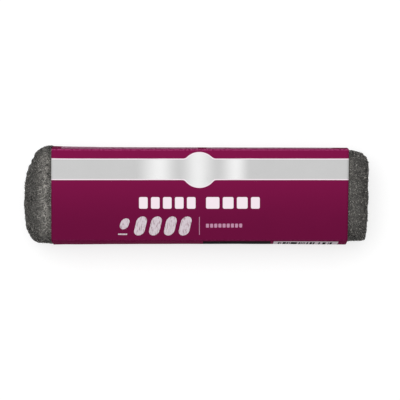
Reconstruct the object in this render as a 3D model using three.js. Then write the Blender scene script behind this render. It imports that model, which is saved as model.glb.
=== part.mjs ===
// A steel wool pad: a long ribbon of steel wool, rolled up, flattened and held by a paper sleeve.
// Millimetres. The pad lies on its back: +X runs along its length, +Y to its upper long side
// as the front is read, and +Z out of the front. The origin is the middle of its underside.

import * as THREE from 'three';

// The sleeve: one sheet, creased four times and glued to itself along the back
const sleeveLength = 168.6;
const frontWidth = 51.7; // from crease to crease
const sleeveHeight = 42; // from the glued flap to the crown of the front
const paperThickness = 0.3;
const frontCrown = 0.5; // how far the front stands proud of its creases
const creaseEase = 1.1; // how far from its corner line a crease begins to turn
const upperBulge = { left: 2.4, middle: 1.75, right: 1.5 }; // how far the side panels bow out
const lowerBulge = { left: 2.85, middle: 2.45, right: 2.8 };
const flapWidth = 14; // where the two ends of the sheet lie glued on each other
const flapEase = 2.5; // the outer end comes back to the level of the back over this width
const cutSkew = 0.8; // the right-hand cut runs this much out of square
const sleeveDrop = 0.25; // the sleeve sits this much towards the lower long side
const bandWidth = 12.2; // the silver band printed along the front
const bandAboveMiddle = 14.55;

// The roll
const ribbonTurns = 5;
const woolPastLeft = 17.1; // from the sleeve to the tip of each end
const woolPastRight = 14.2;
const woolClearance = 0.45; // between the wool and the inside of the sleeve
const freeEdgeThickness = 0.9; // the ribbon thins to this at its free edge
const freeEdgePlace = 13.5; // the free edge lies along the front, this far above the middle
const freeEdgeCreep = 0.8; // it has slid this far out of the right-hand end
const furrowDepth = 2.4; // of the furrow between two turns at the eye, seen on both ends
const furrowSection = [1, 0.22, 0, 0.22]; // its share of that across one turn, from edge to edge
const rimFurrow = 0.2; // the share that would be left of it at the rim
const turnWander = 0.4; // how unevenly the turns stand out
const wanderRate = 2.6; // radians of that unevenness in one turn
const turnGrowth = 1.6; // above 1, a turn steps out late, where it climbs over the last edge
const rimRounding = 0.5; // the side of the roll rounds over by this much before each end
const rimEase = 5; // how close to the rim it does so
const eyeMiddle = { facing: 0.8, share: 0.35 }; // the sector across the slit, and how far towards it
const edgeRise = 3; // how soon after its free edge the last turn is back at full size
const boundSquareness = 6; // exponent of the roll's section, where 2 is an oval

// Where it is bare the felt rises and falls in slow swells, which run in these directions
const feltSwells = [
  [0.5, 0.22, 0.15],
  [-0.33, 0.45, 0.24],
  [0.2, -0.38, 0.52],
  [0.62, -0.15, -0.35],
  [0.12, 0.6, -0.2],
];
const swellHeight = 0.1; // of each of them
const swellEase = [1, 3]; // they set in between these two distances from the sleeve

// Left end: the wool swells out of the sleeve, and its inner turns stand out as a dome.
// A dome is a shallow bowl with a steep rim, given at its upper and its lower side.
const leftSwell = 2.6; // past the creases, to each side
const leftRise = 0.8; // past the crown of the front
const leftCrestEase = 3.6; // its front rises to that over this length
const leftLift = 0.4; // its underside stays this much higher than the back of the sleeve
const leftSquareness = 4.2;
const leftDome = { shallow: [8.2, 3.2], steep: [3.8, 6.5], power: 12 };

// Right end: boxy and almost flat, a little smaller than the sleeve
const rightInset = { upper: 0.9, lower: 1.2, front: 1, back: 0.6 };
const rightSquareness = 5;
const rightDome = { shallow: [0.5, 0.2], steep: [7, 1], power: 14 };
const rightSlant = 2.1; // its lower side ends this much short of its upper side
const rightTaper = 28; // the roll narrows towards this end over this length
const rightSag = 1.6; // its front sags by this much from the sleeve to its tip

// How finely the surfaces are cut up
const sectors = 64;
const levels = furrowSection.length; // lines of points across one turn of the ribbon
const rollStationStep = 13;
const bareShares = [0.25, 0.5, 0.75]; // lines of points between a rim and the sleeve
const sleeveStations = 10;
const panelSteps = 8;
const creaseSteps = 4;

const sleeveLeft = -sleeveLength / 2;
const sleeveRight = sleeveLength / 2;
const backFace = paperThickness; // the single sheet of the back lies over the glued flap
const { smoothstep, lerp, clamp } = THREE.MathUtils;

const magenta = new THREE.Color(0x7a1a46);
const silver = new THREE.Color(0xc9c9c6);
const paperWhite = new THREE.Color(0xe9e6e0);

// Two triangles of a quad whose corners run anticlockwise seen from outside
function quad(a, b, c, d) {
  return [[a, b, c], [a, c, d]];
}

// The same triangles or corners, facing the other way
function flipped(corners) {
  return [...corners].reverse();
}

function bodyFrom(points, triangles) {
  const geometry = new THREE.BufferGeometry();
  geometry.setAttribute('position', new THREE.Float32BufferAttribute(points.flat(), 3));
  geometry.setIndex(triangles.flat());
  const faceted = geometry.toNonIndexed();
  faceted.computeVertexNormals();
  return faceted;
}

// A value that is given at the sleeve's two ends and its middle, at any place along it
function alongSleeve(given, x) {
  const share = clamp(x / sleeveRight, -1, 1);
  const end = share < 0 ? given.left : given.right;
  return lerp(given.middle, end, share * share);
}

// The sleeve

// Points along a panel that bows outwards, at shares of the way between its two creases
function bowedPanel(from, to, bow, shares) {
  const along = to.clone().sub(from);
  const outward = new THREE.Vector2(along.y, -along.x).normalize();
  const margin = creaseEase / along.length();
  return shares.map((share) => {
    const at = clamp(share, margin, 1 - margin);
    const point = from.clone().addScaledVector(along, at);
    return point.addScaledVector(outward, bow * 4 * at * (1 - at));
  });
}

function evenShares(steps) {
  return Array.from({ length: steps + 1 }, (_, i) => i / steps);
}

// The front has lines of points along both edges of its printed band
function frontShares() {
  const middle = 0.5 - bandAboveMiddle / frontWidth;
  const half = bandWidth / 2 / frontWidth;
  return [...evenShares(panelSteps), middle - half, middle + half].sort((a, b) => a - b);
}

// The rounded turn between two panels that would meet at a corner
function crease(before, corner, after) {
  const curve = new THREE.QuadraticBezierCurve(before, corner, after);
  return curve.getPoints(creaseSteps).slice(1, -1);
}

// Outside, the outer end of the sheet stands one thickness proud of the back
function outerFlap() {
  return [
    new THREE.Vector2(-flapWidth / 2, backFace),
    new THREE.Vector2(-flapWidth / 2, 0),
    new THREE.Vector2(flapWidth / 2, 0),
    new THREE.Vector2(flapWidth / 2 + flapEase, backFace),
  ];
}

// Inside, the inner end of the sheet stops, and the outer one rises to its level
function innerFlap() {
  const inside = backFace + paperThickness;
  return [
    new THREE.Vector2(-flapWidth / 2, inside),
    new THREE.Vector2(flapWidth / 2, inside),
    new THREE.Vector2(flapWidth / 2, paperThickness),
    new THREE.Vector2(flapWidth / 2 + flapEase, inside),
  ];
}

// One face of the sheet across the pad: the outer face where inset is 0
function sheetOutline(x, inset) {
  const halfWidth = frontWidth / 2 - inset;
  const back = backFace + inset;
  const front = sleeveHeight - frontCrown - inset;
  const corners = [
    new THREE.Vector2(halfWidth, back),
    new THREE.Vector2(halfWidth, front),
    new THREE.Vector2(-halfWidth, front),
    new THREE.Vector2(-halfWidth, back),
  ];
  const sideShares = evenShares(panelSteps);
  const upper = bowedPanel(corners[0], corners[1], alongSleeve(upperBulge, x), sideShares);
  const frontPanel = bowedPanel(corners[1], corners[2], frontCrown, frontShares());
  const lower = bowedPanel(corners[2], corners[3], alongSleeve(lowerBulge, x), sideShares);
  const [backStart, backEnd] = bowedPanel(corners[3], corners[0], 0, [0, 1]);
  const outline = [
    backStart,
    ...(inset === 0 ? outerFlap() : innerFlap()),
    backEnd,
    ...crease(backEnd, corners[0], upper[0]),
    ...upper,
    ...crease(upper.at(-1), corners[1], frontPanel[0]),
    ...frontPanel,
    ...crease(frontPanel.at(-1), corners[2], lower[0]),
    ...lower,
    ...crease(lower.at(-1), corners[3], backStart),
  ];
  return outline.map((point) => new THREE.Vector2(point.x - sleeveDrop, point.y));
}

function sleeveGeometry() {
  const points = [];
  const triangles = [];
  const outerFaces = 2 * sleeveStations * sheetOutline(0, 0).length;

  [0, paperThickness].forEach((inset) => {
    const first = points.length;
    const count = sheetOutline(0, inset).length;
    for (let station = 0; station <= sleeveStations; station += 1) {
      const share = station / sleeveStations;
      sheetOutline(lerp(sleeveLeft, sleeveRight, share), inset).forEach(({ x: y, y: z }) => {
        const rightCut = sleeveRight + (cutSkew * y) / frontWidth;
        points.push([lerp(sleeveLeft, rightCut, share), y, z]);
      });
    }
    for (let station = 0; station < sleeveStations; station += 1) {
      const near = first + station * count;
      const far = near + count;
      for (let i = 0; i < count; i += 1) {
        const next = (i + 1) % count;
        const corners = [near + i, near + next, far + next, far + i];
        triangles.push(...quad(...(inset === 0 ? corners : flipped(corners))));
      }
    }
  });

  // The cut edges of the sheet, at both ends
  const outer = sheetOutline(sleeveLeft, 0);
  const inner = sheetOutline(sleeveLeft, paperThickness);
  const innerFirst = (sleeveStations + 1) * outer.length;
  [sleeveLeft, sleeveRight].forEach((x, end) => {
    const station = end * sleeveStations;
    const faces = THREE.ShapeUtils.triangulateShape(
      sheetOutline(x, 0),
      [sheetOutline(x, paperThickness)],
    );
    const id = (i) => (i < outer.length
      ? station * outer.length + i
      : innerFirst + station * inner.length + i - outer.length);
    faces.forEach((face) => {
      const corners = face.map(id);
      triangles.push(end === 0 ? flipped(corners) : corners);
    });
  });

  const geometry = bodyFrom(points, triangles);
  const colours = triangles.flatMap((corners, i) => {
    const onBand = corners.every((id) => {
      const [, y, z] = points[id];
      const offBand = Math.abs(y + sleeveDrop - bandAboveMiddle) - bandWidth / 2;
      return z > sleeveHeight / 2 && offBand < paperThickness / 10;
    });
    const colour = i >= outerFaces ? paperWhite : onBand ? silver : magenta;
    return [colour, colour, colour].flatMap((c) => c.toArray());
  });
  geometry.setAttribute('color', new THREE.Float32BufferAttribute(colours, 3));
  return geometry;
}

// The roll

// How far the roll reaches to each side at a place along it, how far its sides bow out as the
// sleeve's do, and how square its section is
function rollReach(x) {
  const upperBow = alongSleeve(upperBulge, x);
  const lowerBow = alongSleeve(lowerBulge, x);
  const paperReach = frontWidth / 2 - paperThickness - woolClearance;
  const bound = {
    upper: paperReach + upperBow - sleeveDrop,
    lower: paperReach + lowerBow + sleeveDrop,
    front: sleeveHeight - paperThickness - woolClearance,
    back: backFace + paperThickness + woolClearance,
    upperBow,
    lowerBow,
    squareness: boundSquareness,
  };
  const left = {
    upper: frontWidth / 2 + leftSwell,
    lower: frontWidth / 2 + leftSwell,
    front: sleeveHeight + leftRise,
    back: backFace + leftLift,
    upperBow,
    lowerBow,
    squareness: leftSquareness,
  };
  const right = {
    ...bound,
    upper: bound.upper - rightInset.upper,
    lower: bound.lower - rightInset.lower,
    front: bound.front - rightInset.front,
    back: bound.back + rightInset.back,
    squareness: rightSquareness,
  };
  const swollen = 1 - smoothstep(x, sleeveLeft - 3 * woolClearance, sleeveLeft - woolClearance);
  const crested = 1 - smoothstep(x, sleeveLeft - leftCrestEase, sleeveLeft - woolClearance);
  const narrowed = smoothstep(x, sleeveRight - rightTaper, sleeveRight);
  const reach = Object.fromEntries(Object.keys(bound).map((key) => {
    const leftwards = lerp(bound[key], left[key], key === 'front' ? crested : swollen);
    return [key, lerp(leftwards, right[key], narrowed)];
  }));
  reach.front -= rightSag * smoothstep(x, sleeveRight, sleeveRight + woolPastRight);
  return reach;
}

// Where a sector's ray leaves a squared-off oval of size 1
function squaredOval(angle, squareness) {
  const total = Math.abs(Math.cos(angle)) ** squareness + Math.abs(Math.sin(angle)) ** squareness;
  const size = total ** (-1 / squareness);
  return new THREE.Vector2(Math.cos(angle), Math.sin(angle)).multiplyScalar(size);
}

// The sectors start at the free edge of the ribbon and end at the top of the step down from it
const startAngle = Math.atan2(1, freeEdgePlace / (frontWidth / 2));
const stepAngle = freeEdgeThickness / (frontWidth / 2);

function sectorAngle(sector) {
  return startAngle + (sector / (sectors - 1)) * (2 * Math.PI - stepAngle);
}

// A point of the roll's section: a share of the way out from the slit in its middle, where the
// ribbon was first folded over, to its outline
function sectionPoint(x, sector, out, inset = 0) {
  const reach = rollReach(x);
  const unit = squaredOval(sectorAngle(sector), reach.squareness);
  const halfHeight = (reach.front - reach.back) / 2;
  const halfSlit = (reach.upper + reach.lower) / 2 - halfHeight;
  const [side, bow] = unit.x > 0
    ? [reach.upper, reach.upperBow]
    : [reach.lower, reach.lowerBow];
  const crown = unit.y > 0 ? frontCrown : 0;
  const outlineY = side - bow * unit.y ** 2 - inset;
  const outlineZ = halfHeight - crown * unit.x ** 2 - inset;
  const y = unit.x * lerp(halfSlit, outlineY, out);
  const z = unit.y * outlineZ * out;
  const squares = Math.abs(y / outlineY) ** reach.squareness
    + Math.abs(unit.y * out) ** reach.squareness;
  return {
    across: unit.x,
    fromMiddle: squares ** (1 / reach.squareness), // 1 on the outline, all the way round
    y,
    z: (reach.front + reach.back) / 2 + z,
  };
}

// How far the bare felt stands out at a place, by its swells
function feltHeight(x, y, z) {
  const bare = smoothstep(Math.abs(x) - sleeveRight, ...swellEase);
  const waves = feltSwells.map((along, i) => Math.sin(along[0] * x + along[1] * y + along[2] * z + i));
  return bare * swellHeight * waves.reduce((total, wave) => total + wave);
}

// The faces of the ribbon wind out from the eye in sectors and turns. The last turn is the
// outline of the roll, which lies one free edge further in where it starts than where it ends.
const spiralSteps = ribbonTurns * sectors;
const edgeShare = freeEdgeThickness / (sleeveHeight / 2);

// How far out a face of the ribbon lies, as a share of the way to the outline
function ribbonFace(step) {
  const sector = step % sectors;
  if (step >= spiralSteps) {
    return 1 - edgeShare * (1 - sector / (sectors - 1)) ** edgeRise;
  }
  const turn = Math.floor(step / sectors) + (sector / sectors) ** turnGrowth;
  return (turn / ribbonTurns) * (1 - edgeShare);
}

// How far in from its tip an end of the roll lies
function endDepth(end, across, fromMiddle, lastTurn) {
  const upperSide = (1 + across) / 2;
  const [shallow, steep] = [end.dome.shallow, end.dome.steep].map(
    ([upper, lower]) => lerp(lower, upper, upperSide),
  );
  const slant = (end.slant / 2) * (1 - across * fromMiddle);
  const creep = end.creep * (1 - lastTurn);
  return shallow * fromMiddle ** 2 + steep * fromMiddle ** end.dome.power + slant + creep;
}

function rimPlace(end, sector) {
  const { across } = sectionPoint(end.tip, sector, 1);
  return end.tip + end.inward * endDepth(end, across, 1, sector / sectors);
}

// One end of the roll: each turn of the ribbon is a rounded ridge between two furrows. The
// outermost line of points is the rim, which the side of the roll shares.
function addEnd(end, rim, points, triangles) {
  const lines = [];
  for (let step = 0; step < spiralSteps; step += 1) {
    const sector = step % sectors;
    const lastTurn = Math.max(0, step / sectors - (ribbonTurns - 1));
    lines.push([]);
    for (let level = 0; level < levels; level += 1) {
      const out = lerp(ribbonFace(step), ribbonFace(step + sectors), level / levels);
      const point = sectionPoint(rimPlace(end, sector), sector, out, rimRounding);
      const uneven = turnWander * Math.sin(wanderRate * (step / sectors + level / levels));
      const furrow = furrowDepth * furrowSection[level] * lerp(1, rimFurrow, point.fromMiddle);
      const depth = endDepth(end, point.across, point.fromMiddle, lastTurn)
        + uneven * (1 - point.fromMiddle) + furrow;
      const x = end.tip + end.inward * depth;
      lines[step].push(points.length);
      points.push([x - end.inward * feltHeight(x, point.y, point.z), point.y, point.z]);
    }
  }
  const lineId = (step, level) => {
    const at = level === levels ? step + sectors : step;
    return at >= spiralSteps ? rim[at - spiralSteps] : lines[at][level % levels];
  };

  const faces = [];
  for (let step = 0; step < spiralSteps; step += 1) {
    const lastStep = step === spiralSteps - 1;
    for (let level = 0; level < levels; level += 1) {
      const [near, nearOut] = [lineId(step, level), lineId(step, level + 1)];
      if (lastStep) {
        faces.push([near, nearOut, rim[0]]);
      } else {
        faces.push(...quad(near, nearOut, lineId(step + 1, level + 1), lineId(step + 1, level)));
      }
    }
  }

  // The eye, where the ribbon starts
  const start = points[lines[0][0]];
  const opposite = points[lines[Math.round(sectors * eyeMiddle.facing)][0]];
  const eye = points.length;
  points.push(start.map((value, i) => lerp(value, opposite[i], eyeMiddle.share)));
  const around = lines.slice(0, sectors + 1).map((line) => line[0]);
  around.push(...flipped(lines[0].slice(1)));
  around.forEach((id, i) => faces.push([eye, id, around[(i + 1) % around.length]]));
  triangles.push(...(end.inward < 0 ? faces : faces.map(flipped)));
}

function rollGeometry() {
  const leftEnd = {
    tip: sleeveLeft - woolPastLeft, inward: 1, dome: leftDome, slant: 0, creep: 0,
  };
  const rightEnd = {
    tip: sleeveRight + woolPastRight,
    inward: -1,
    dome: rightDome,
    slant: rightSlant,
    creep: freeEdgeCreep,
  };
  const allSectors = Array.from({ length: sectors }, (_, i) => i);
  const leftRim = allSectors.map((sector) => rimPlace(leftEnd, sector));
  const rightRim = allSectors.map((sector) => rimPlace(rightEnd, sector));

  // Stations along the roll: where it leaves the sleeve, and evenly between
  const boundLength = sleeveLength + woolClearance;
  const steps = Math.ceil(boundLength / rollStationStep);
  const stations = [sleeveLeft - 3 * woolClearance];
  for (let i = 0; i <= steps; i += 1) {
    stations.push(sleeveRight - boundLength * (1 - i / steps));
  }
  stations.push(sleeveRight + woolPastRight / 4);
  const lowest = Math.max(...leftRim) + rimRounding;
  const highest = Math.min(...rightRim) - rimRounding;
  const inner = stations.filter((x) => x > lowest && x < highest);

  const bareRings = (rim, station) => [0, ...bareShares].map((share) => ({
    places: allSectors.map((i) => lerp(rim[i], station, share)),
    inset: rimRounding * (1 - share) ** rimEase,
  }));
  const rings = [
    ...bareRings(leftRim, inner[0]),
    ...inner.map((x) => ({ places: allSectors.map(() => x), inset: 0 })),
    ...flipped(bareRings(rightRim, inner.at(-1))),
  ];

  const points = [];
  const triangles = [];
  rings.forEach(({ places, inset }) => places.forEach((x, sector) => {
    const face = ribbonFace(spiralSteps + sector);
    const even = sectionPoint(x, sector, face, inset);
    const { y, z } = sectionPoint(x, sector, face, inset - feltHeight(x, even.y, even.z));
    points.push([x, y, z]);
  }));
  for (let ring = 0; ring < rings.length - 1; ring += 1) {
    const near = ring * sectors;
    const far = near + sectors;
    for (let i = 0; i < sectors; i += 1) {
      const next = (i + 1) % sectors;
      triangles.push(...quad(near + i, near + next, far + next, far + i));
    }
  }
  const lastRing = (rings.length - 1) * sectors;
  addEnd(leftEnd, allSectors, points, triangles);
  addEnd(rightEnd, allSectors.map((i) => lastRing + i), points, triangles);
  return bodyFrom(points, triangles);
}

// The pad

const roll = new THREE.Mesh(
  rollGeometry(),
  new THREE.MeshStandardMaterial({ color: 0x6f6d69, roughness: 0.55, metalness: 0.7 }),
);
roll.name = 'steel_wool_roll';

const sleeve = new THREE.Mesh(
  sleeveGeometry(),
  new THREE.MeshStandardMaterial({ vertexColors: true, roughness: 0.45, metalness: 0 }),
);
sleeve.name = 'paper_sleeve';

const pad = new THREE.Group();
pad.add(roll, sleeve);
const bounds = new THREE.Box3().setFromObject(pad);
const middle = bounds.getCenter(new THREE.Vector3());
pad.position.set(-middle.x, -middle.y, -bounds.min.z);

export default pad;
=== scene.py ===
import itertools
import math

import bpy
import numpy as np
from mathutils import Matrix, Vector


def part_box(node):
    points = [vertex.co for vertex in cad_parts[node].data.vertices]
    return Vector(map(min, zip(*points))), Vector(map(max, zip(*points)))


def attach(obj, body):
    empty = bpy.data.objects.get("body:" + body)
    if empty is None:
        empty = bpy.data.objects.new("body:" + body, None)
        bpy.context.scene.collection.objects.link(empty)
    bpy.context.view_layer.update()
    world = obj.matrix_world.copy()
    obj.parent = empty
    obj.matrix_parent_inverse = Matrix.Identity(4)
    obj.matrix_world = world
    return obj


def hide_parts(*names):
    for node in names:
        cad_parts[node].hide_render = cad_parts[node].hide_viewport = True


# A steel wool pad in a folded paper sleeve. It lies on its back, and the camera looks straight
# down on its printed front. Sizes are millimetres, as in part.mjs, until a mesh is made.
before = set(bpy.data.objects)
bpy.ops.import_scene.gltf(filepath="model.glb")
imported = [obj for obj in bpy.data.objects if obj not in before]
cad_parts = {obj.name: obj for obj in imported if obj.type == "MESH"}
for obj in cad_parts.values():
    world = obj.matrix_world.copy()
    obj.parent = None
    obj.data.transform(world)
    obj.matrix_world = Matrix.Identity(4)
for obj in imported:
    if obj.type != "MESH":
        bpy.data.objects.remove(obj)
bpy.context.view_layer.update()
mm = 0.001
random = np.random.default_rng(20)

# camera
cameraSetup = {
    "place": (2.17, -2.95, 1042),  # 1 m above the front of the pad
    "pictureWidth": 227.04,  # what the picture spans at the level of the front
    "distance": 1000,
    "sensor": 36,
}


def makeCamera(setup):
    data = bpy.data.cameras.new("camera")
    data.sensor_width = setup["sensor"]
    data.lens = setup["sensor"] * setup["distance"] / setup["pictureWidth"]
    camera = bpy.data.objects.new("camera", data)
    camera.location = [value * mm for value in setup["place"]]
    bpy.context.scene.collection.objects.link(camera)
    bpy.context.scene.camera = camera


makeCamera(cameraSetup)
print("camera set")


# small helpers for numbers
def blend(start, end, share):
    return start + (end - start) * share


def smoothStep(value, start, end):
    share = np.clip((value - start) / (end - start), 0, 1)
    return share * share * (3 - 2 * share)


noiseTable = random.uniform(-1, 1, 4096)
hashFactors = np.array([73856093, 19349663, 83492791])  # large primes, so neighbouring cells differ
seedStep = 7919


def lumps(points, size, seed):  # smooth uneven values from -1 to 1, about one lump in each size
    grid = np.asarray(points) / size
    cell = np.floor(grid).astype(np.int64)
    part = smoothStep(grid - cell, 0, 1)
    total = np.zeros(grid.shape[:-1])
    for corner in itertools.product((0, 1), repeat=3):
        keys = (cell + corner) @ hashFactors + seed * seedStep
        share = np.prod(np.where(corner, part, 1 - part), axis=-1)
        total += noiseTable[keys % len(noiseTable)] * share
    return total


# The paper sleeve, folded as in part.mjs
sleeve = {
    "length": 168.6,
    "frontWidth": 51.7,
    "height": 42,
    "thickness": 0.3,
    "frontCrown": 0.5,
    "creaseEase": 1.1,
    "upperBulge": (2.4, 1.75, 1.5),  # left, middle, right
    "lowerBulge": (2.85, 2.45, 2.8),
    "flapWidth": 14,
    "flapEase": 2.5,
    "cutSkew": 0.8,
    "drop": 0.25,
    "stations": 110,
    "panelSteps": 22,
    "frontSteps": 40,
    "backSteps": 12,
    "creaseSteps": 6,
    "waveHeight": 0.1,  # how far the paper wanders off its true panels
    "waveStretch": (0.6, 1, 1),
    "longWave": {"size": 17, "seed": 3},
    "shortWave": {"size": 7, "seed": 4},
    "shortShare": 0.4,
    "endEase": 6,  # how suddenly the waves grow towards the cut ends
    "backHeight": 3,  # below it the sheet lies flat
}

sleeveLeft = -sleeve["length"] / 2
sleeveRight = sleeve["length"] / 2
backFace = sleeve["thickness"]
lowest = [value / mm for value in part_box("paper_sleeve")[0]]
shift = np.array([
    lowest[0] - sleeveLeft,
    lowest[1] + sleeve["frontWidth"] / 2 + sleeve["lowerBulge"][0] + sleeve["drop"],
    0,
])  # from the source's own place for the pad to its place in the frame


def alongSleeve(given, x):
    share = np.clip(x / sleeveRight, -1, 1)
    left, middle, right = given
    return blend(middle, np.where(share < 0, left, right), share * share)


def ringBand(near, far, count):  # quads between two rings of points, given the first point of each
    around = np.arange(count)
    nextAround = (around + 1) % count
    return np.column_stack([near + around, near + nextAround, far + nextAround, far + around])


def addMesh(name, points, faces, materials, smooth=True):
    mesh = bpy.data.meshes.new(name)
    faces = np.asarray(faces)
    sides = faces.shape[1]
    mesh.vertices.add(len(points))
    mesh.vertices.foreach_set("co", ((points + shift) * mm).ravel())
    mesh.loops.add(faces.size)
    mesh.loops.foreach_set("vertex_index", faces.ravel())
    mesh.polygons.add(len(faces))
    mesh.polygons.foreach_set("loop_start", np.arange(0, faces.size, sides))
    mesh.update(calc_edges=True)
    mesh.polygons.foreach_set("use_smooth", np.full(len(faces), smooth))
    for material in materials:
        mesh.materials.append(material)
    piece = bpy.data.objects.new(name, mesh)
    bpy.context.scene.collection.objects.link(piece)
    return piece


# node helpers
def newMaterial(name):
    material = bpy.data.materials.new(name)
    material.use_nodes = True
    material.node_tree.nodes.clear()
    tree = material.node_tree
    output = tree.nodes.new("ShaderNodeOutputMaterial")
    shader = tree.nodes.new("ShaderNodeBsdfPrincipled")
    tree.links.new(shader.outputs["BSDF"], output.inputs["Surface"])
    return material, tree, shader


def put(tree, socket, value):
    if isinstance(value, bpy.types.NodeSocket):
        tree.links.new(value, socket)
    else:
        socket.default_value = value


def setInputs(shader, values):
    for name, value in values.items():
        shader.inputs[name].default_value = value


def maths(tree, operation, *values, clamp=False):
    node = tree.nodes.new("ShaderNodeMath")
    node.operation = operation
    node.use_clamp = clamp
    for socket, value in zip(node.inputs, values):
        put(tree, socket, value)
    return node.outputs[0]


def remap(tree, value, fromLow, fromHigh, toLow=0, toHigh=1):
    node = tree.nodes.new("ShaderNodeMapRange")
    node.interpolation_type = "SMOOTHSTEP"
    for name, given in (("Value", value), ("From Min", fromLow), ("From Max", fromHigh),
                        ("To Min", toLow), ("To Max", toHigh)):
        put(tree, node.inputs[name], given)
    return node.outputs["Result"]


def mixColours(tree, share, first, second):
    node = tree.nodes.new("ShaderNodeMix")
    node.data_type = "RGBA"
    put(tree, node.inputs["Factor"], share)
    put(tree, node.inputs["A"], first)
    put(tree, node.inputs["B"], second)
    return node.outputs["Result"]


def noiseNode(tree, place, scale, detail=2, roughness=0.5, distortion=0):
    node = tree.nodes.new("ShaderNodeTexNoise")
    put(tree, node.inputs["Vector"], place)
    for name, value in (("Scale", scale), ("Detail", detail), ("Roughness", roughness),
                        ("Distortion", distortion)):
        put(tree, node.inputs[name], value)
    return node.outputs["Fac"]


bumpDepth = 0.1 * mm


def bumpNode(tree, height, strength):
    node = tree.nodes.new("ShaderNodeBump")
    put(tree, node.inputs["Height"], height)
    node.inputs["Strength"].default_value = strength
    node.inputs["Distance"].default_value = bumpDepth
    return node.outputs["Normal"]


def newGroup(name, inputs, outputs):
    group = bpy.data.node_groups.new(name, "ShaderNodeTree")
    for label, kind, value in inputs:
        socket = group.interface.new_socket(label, in_out="INPUT", socket_type=kind)
        if value is not None:
            socket.default_value = value
    for label, kind in outputs:
        group.interface.new_socket(label, in_out="OUTPUT", socket_type=kind)
    given = group.nodes.new("NodeGroupInput").outputs
    result = group.nodes.new("NodeGroupOutput").inputs
    return group, given, result


def useGroup(tree, group, values):
    node = tree.nodes.new("ShaderNodeGroup")
    node.node_tree = group
    for name, value in values.items():
        put(tree, node.inputs[name], value)
    return node.outputs


def colour(red, green, blue):  # from the 0 to 255 of a colour picker
    linear = [((v / 255 + 0.055) / 1.055) ** 2.4 for v in (red, green, blue)]
    return (*linear, 1)


# Shared effect: the tangle of thin strands in steel wool, as curly lines on a dark ground
tangleSetup = {
    "layers": ((1.0, 1.2, 0.44), (1.7, 0.8, 0.5), (2.6, 0.5, 0.56)),  # how fine, how curly, at which level
    "cloudScale": 0.25,
    "clouds": (0.3, 0.7),  # from which value of the noise to which they brighten
    "cloudDarkest": 0.8,
}


def makeTangleGroup(setup):
    group, given, result = newGroup(
        "woolTangle",
        [("Place", "NodeSocketVector", None), ("Strand Spacing", "NodeSocketFloat", 1.0),
         ("Strand Width", "NodeSocketFloat", 0.1), ("Dark", "NodeSocketColor", (0, 0, 0, 1)),
         ("Light", "NodeSocketColor", (1, 1, 1, 1))],
        [("Color", "NodeSocketColor"), ("Height", "NodeSocketFloat")],
    )
    scale = maths(group, "DIVIDE", 1000.0, given["Strand Spacing"])
    strands = None
    for fineness, curl, level in setup["layers"]:
        finer = maths(group, "MULTIPLY", scale, fineness)
        field = noiseNode(group, given["Place"], finer, detail=1, distortion=curl)
        away = maths(group, "ABSOLUTE", maths(group, "SUBTRACT", field, level))
        line = remap(group, away, 0.0, given["Strand Width"], 1.0, 0.0)
        strands = line if strands is None else maths(group, "MAXIMUM", strands, line)
    coarser = maths(group, "MULTIPLY", scale, setup["cloudScale"])
    cloudy = noiseNode(group, given["Place"], coarser, detail=3)
    clouds = remap(group, cloudy, *setup["clouds"], setup["cloudDarkest"], 1.0)
    share = maths(group, "MULTIPLY", strands, clouds)
    put(group, result["Color"], mixColours(group, share, given["Dark"], given["Light"]))
    put(group, result["Height"], strands)
    return group


# Shared effect: the faint grain of paper, with wider clouds in it
paperSetup = {"cloudScale": 0.06, "grainShare": 0.5}


def makePaperGroup(setup):
    group, given, result = newGroup(
        "paperGrain",
        [("Place", "NodeSocketVector", None), ("Grain Size", "NodeSocketFloat", 0.6),
         ("Unevenness", "NodeSocketFloat", 0.1), ("Base", "NodeSocketColor", (1, 1, 1, 1))],
        [("Color", "NodeSocketColor"), ("Height", "NodeSocketFloat")],
    )
    scale = maths(group, "DIVIDE", 1000.0, given["Grain Size"])
    grain = noiseNode(group, given["Place"], scale, detail=4, roughness=0.6)
    coarser = maths(group, "MULTIPLY", scale, setup["cloudScale"])
    cloudy = noiseNode(group, given["Place"], coarser, detail=3)
    tone = maths(group, "ADD", maths(group, "MULTIPLY", grain, setup["grainShare"]),
                 maths(group, "MULTIPLY", cloudy, 1 - setup["grainShare"]))
    shade = maths(group, "MULTIPLY", maths(group, "SUBTRACT", 0.5, tone), given["Unevenness"])
    white = maths(group, "ADD", 1.0, shade)
    scaled = group.nodes.new("ShaderNodeVectorMath")
    scaled.operation = "SCALE"
    put(group, scaled.inputs[0], given["Base"])
    put(group, scaled.inputs["Scale"], white)
    put(group, result["Color"], scaled.outputs[0])
    put(group, result["Height"], grain)
    return group


# Shared effect: one printed shape, a rounded block that may slant
shapeSetup = {"edgeSoftness": 0.06}


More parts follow.
